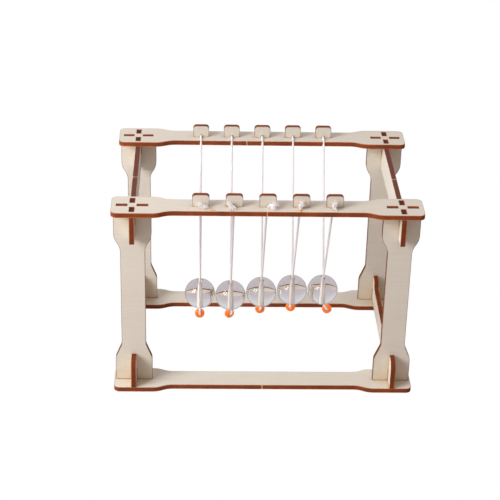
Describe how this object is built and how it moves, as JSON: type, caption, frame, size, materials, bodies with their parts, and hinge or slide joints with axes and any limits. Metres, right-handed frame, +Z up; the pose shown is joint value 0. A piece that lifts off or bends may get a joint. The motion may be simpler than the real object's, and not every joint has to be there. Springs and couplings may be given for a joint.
{
  "type": "newtons cradle",
  "caption": "Open plywood frame of interlocking laser-cut sheets with a row of clear balls that swing on V-shaped threads from pegs on its two top rails.",
  "frame": {"origin": "on the table, under the middle of the frame", "axes": "+X along the rails and the row of balls, +Y from the front rail to the back rail, +Z up"},
  "size_m": [0.152, 0.1034, 0.1074],
  "materials": {
    "plywood": "bare birch plywood, laser-burnt brown edges",
    "thread": "white twisted cotton",
    "clear_ball": "clear, polished",
    "orange_bead": "translucent orange, glossy"
  },
  "bodies": {
    "frame": {"front_top_rail": "plywood", "back_top_rail": "plywood", "front_base_rail": "plywood", "back_base_rail": "plywood", "leg_front_left": "plywood", "leg_back_left": "plywood", "side_plate_upper_left": "plywood", "side_plate_lower_left": "plywood", "leg_front_right": "plywood", "leg_back_right": "plywood", "side_plate_upper_right": "plywood", "side_plate_lower_right": "plywood", "peg_front_1": "plywood", "peg_front_2": "plywood", "peg_front_3": "plywood", "peg_front_4": "plywood", "peg_front_5": "plywood", "peg_back_1": "plywood", "peg_back_2": "plywood", "peg_back_3": "plywood", "peg_back_4": "plywood", "peg_back_5": "plywood", "thread_end_front_1": "thread", "thread_end_front_2": "thread", "thread_end_front_3": "thread", "thread_end_front_4": "thread", "thread_end_front_5": "thread", "thread_end_back_1": "thread", "thread_end_back_2": "thread", "thread_end_back_3": "thread", "thread_end_back_4": "thread", "thread_end_back_5": "thread"},
    "pendulum_1": {"ball_1": "clear_ball", "stopper_bead_1": "orange_bead", "thread_1": "thread"},
    "pendulum_2": {"ball_2": "clear_ball", "stopper_bead_2": "orange_bead", "thread_2": "thread"},
    "pendulum_3": {"ball_3": "clear_ball", "stopper_bead_3": "orange_bead", "thread_3": "thread"},
    "pendulum_4": {"ball_4": "clear_ball", "stopper_bead_4": "orange_bead", "thread_4": "thread"},
    "pendulum_5": {"ball_5": "clear_ball", "stopper_bead_5": "orange_bead", "thread_5": "thread"}
  },
  "joints": [
    {"name": "swing_1", "type": "hinge", "parent": "frame", "child": "pendulum_1", "pos_m": [-0.0326, 0, 0.09795], "axis": [0, 1, 0], "range_deg": [-0.1, 60]},
    {"name": "swing_2", "type": "hinge", "parent": "frame", "child": "pendulum_2", "pos_m": [-0.0163, 0, 0.09795], "axis": [0, 1, 0], "range_deg": [-0.1, 0.1]},
    {"name": "swing_3", "type": "hinge", "parent": "frame", "child": "pendulum_3", "pos_m": [0, 0, 0.09795], "axis": [0, 1, 0], "range_deg": [-0.1, 0.1]},
    {"name": "swing_4", "type": "hinge", "parent": "frame", "child": "pendulum_4", "pos_m": [0.0163, 0, 0.09795], "axis": [0, 1, 0], "range_deg": [-0.1, 0.1]},
    {"name": "swing_5", "type": "hinge", "parent": "frame", "child": "pendulum_5", "pos_m": [0.0326, 0, 0.09795], "axis": [0, 1, 0], "range_deg": [-60, 0.1]}
  ]
}
